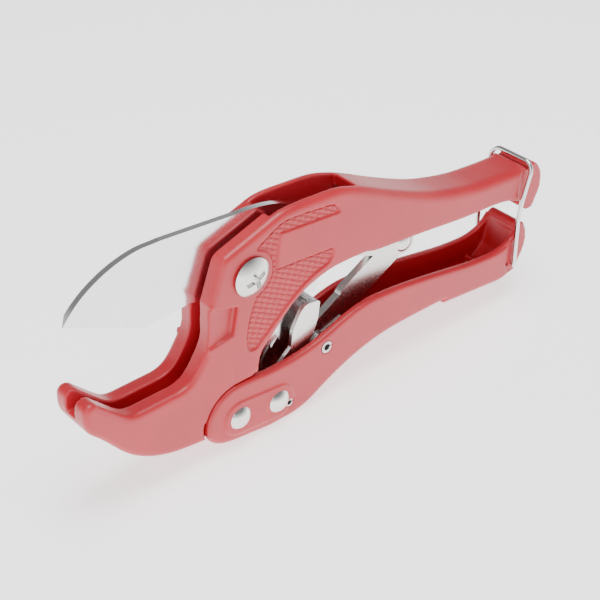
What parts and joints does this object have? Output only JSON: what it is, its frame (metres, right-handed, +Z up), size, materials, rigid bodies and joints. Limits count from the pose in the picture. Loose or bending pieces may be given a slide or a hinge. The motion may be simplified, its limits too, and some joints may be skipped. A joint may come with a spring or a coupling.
{
  "type": "ratcheting pipe cutter",
  "caption": "Hand-held ratcheting cutter for plastic pipe, with a cast jaw and handle, a hinged blade with a toothed tail, a pawl, a link pair in the handles and a wire latch.",
  "frame": {"origin": "middle of the bounding box at the level of the lower handle's belly, which is the lowest point", "axes": "+X from the jaw to the handle tails, Y across the thickness along every pivot, +Z up from the belly to the blade's spine"},
  "size_m": [0.2041, 0.0232, 0.0861],
  "materials": {
    "red_casting": "satin red coating on cast aluminium",
    "blade_steel": "finely ground and polished",
    "plated_hardware": "bright nickel plating",
    "steel_hardware": "plain turned steel",
    "pressed_steel": "nickel-plated pressed sheet",
    "spring_steel": "drawn spring wire",
    "wire_steel": "plated wire",
    "bronze_bush": "turned bronze"
  },
  "bodies": {
    "body": {"body_casting": "red_casting", "blade_pivot_sleeve": "steel_hardware", "blade_pivot_screw": "plated_hardware", "blade_pivot_washer": "steel_hardware", "blade_pivot_nut": "plated_hardware", "blade_washer": "steel_hardware", "handle_pivot_bush": "bronze_bush", "upper_link_pin": "steel_hardware", "upper_link_spacers": "steel_hardware"},
    "lower_handle_body": {"lower_handle": "red_casting", "handle_pivot_rivet": "plated_hardware", "pawl_rivet": "plated_hardware", "pawl_spring_pin": "steel_hardware", "lower_link_pin": "steel_hardware", "lower_link_spacer": "steel_hardware", "handle_spring": "spring_steel"},
    "blade_body": {"blade": "blade_steel", "blade_spring": "spring_steel"},
    "pawl_body": {"pawl": "pressed_steel", "pawl_spring": "spring_steel"},
    "lower_link_body": {"lower_link": "pressed_steel"},
    "upper_link_body": {"upper_link": "pressed_steel", "knee_rivet": "plated_hardware"},
    "bail_body": {"wire_bail": "wire_steel"}
  },
  "joints": [
    {"name": "handle_hinge", "type": "hinge", "parent": "body", "child": "lower_handle_body", "pos_m": [-0.0446, 0, 0.0118], "axis": [0, 1, 0], "range_deg": [0, 20]},
    {"name": "blade_hinge", "type": "hinge", "parent": "body", "child": "blade_body", "pos_m": [-0.0379, 0, 0.0646], "axis": [0, -1, 0], "range_deg": [-27, 44]},
    {"name": "pawl_hinge", "type": "hinge", "parent": "lower_handle_body", "child": "pawl_body", "pos_m": [-0.028, 0, 0.01], "axis": [0, 1, 0], "range_deg": [0, 3.5], "stiffness_Nm_per_rad": 0.05, "springref_deg": -17.19},
    {"name": "lower_link_hinge", "type": "hinge", "parent": "lower_handle_body", "child": "lower_link_body", "pos_m": [-0.0062, 0, 0.0218], "axis": [0, 1, 0], "range_deg": [-31, 0]},
    {"name": "upper_link_hinge", "type": "hinge", "parent": "body", "child": "upper_link_body", "pos_m": [0.0072, 0, 0.0552], "axis": [0, 1, 0], "range_deg": [0, 14]},
    {"name": "bail_hinge", "type": "hinge", "parent": "body", "child": "bail_body", "pos_m": [0.0938, 0, 0.0563], "axis": [0, -1, 0], "range_deg": [0, 75]}
  ],
  "couplings": [
    {"joint": "lower_link_hinge", "follows": "handle_hinge", "ratio": -1.528},
    {"joint": "upper_link_hinge", "follows": "handle_hinge", "ratio": 0.683}
  ]
}
